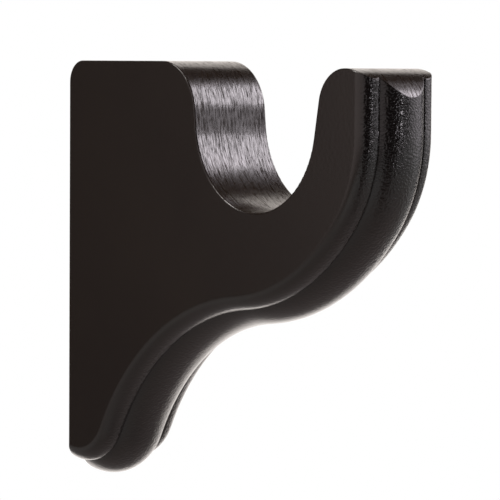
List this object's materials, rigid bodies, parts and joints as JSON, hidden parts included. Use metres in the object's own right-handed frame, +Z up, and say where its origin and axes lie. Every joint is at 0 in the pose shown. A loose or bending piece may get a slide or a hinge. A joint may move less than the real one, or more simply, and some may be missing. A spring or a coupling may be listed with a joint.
{
  "type": "curtain pole bracket",
  "caption": "Dark stained wooden wall bracket with an open U cradle for a thick curtain pole and a stepped, rounded moulding along its curved front edge.",
  "frame": {"origin": "middle of the fixing hole's mouth, in the face that lies against the wall", "axes": "+X out of the wall towards the arm, +Y along the pole, +Z up"},
  "size_m": [0.1409, 0.0262, 0.126],
  "materials": {
    "stained_wood": "satin lacquer over near-black brown stain"
  },
  "bodies": {
    "root": {"bracket": "stained_wood"}
  },
  "joints": []
}
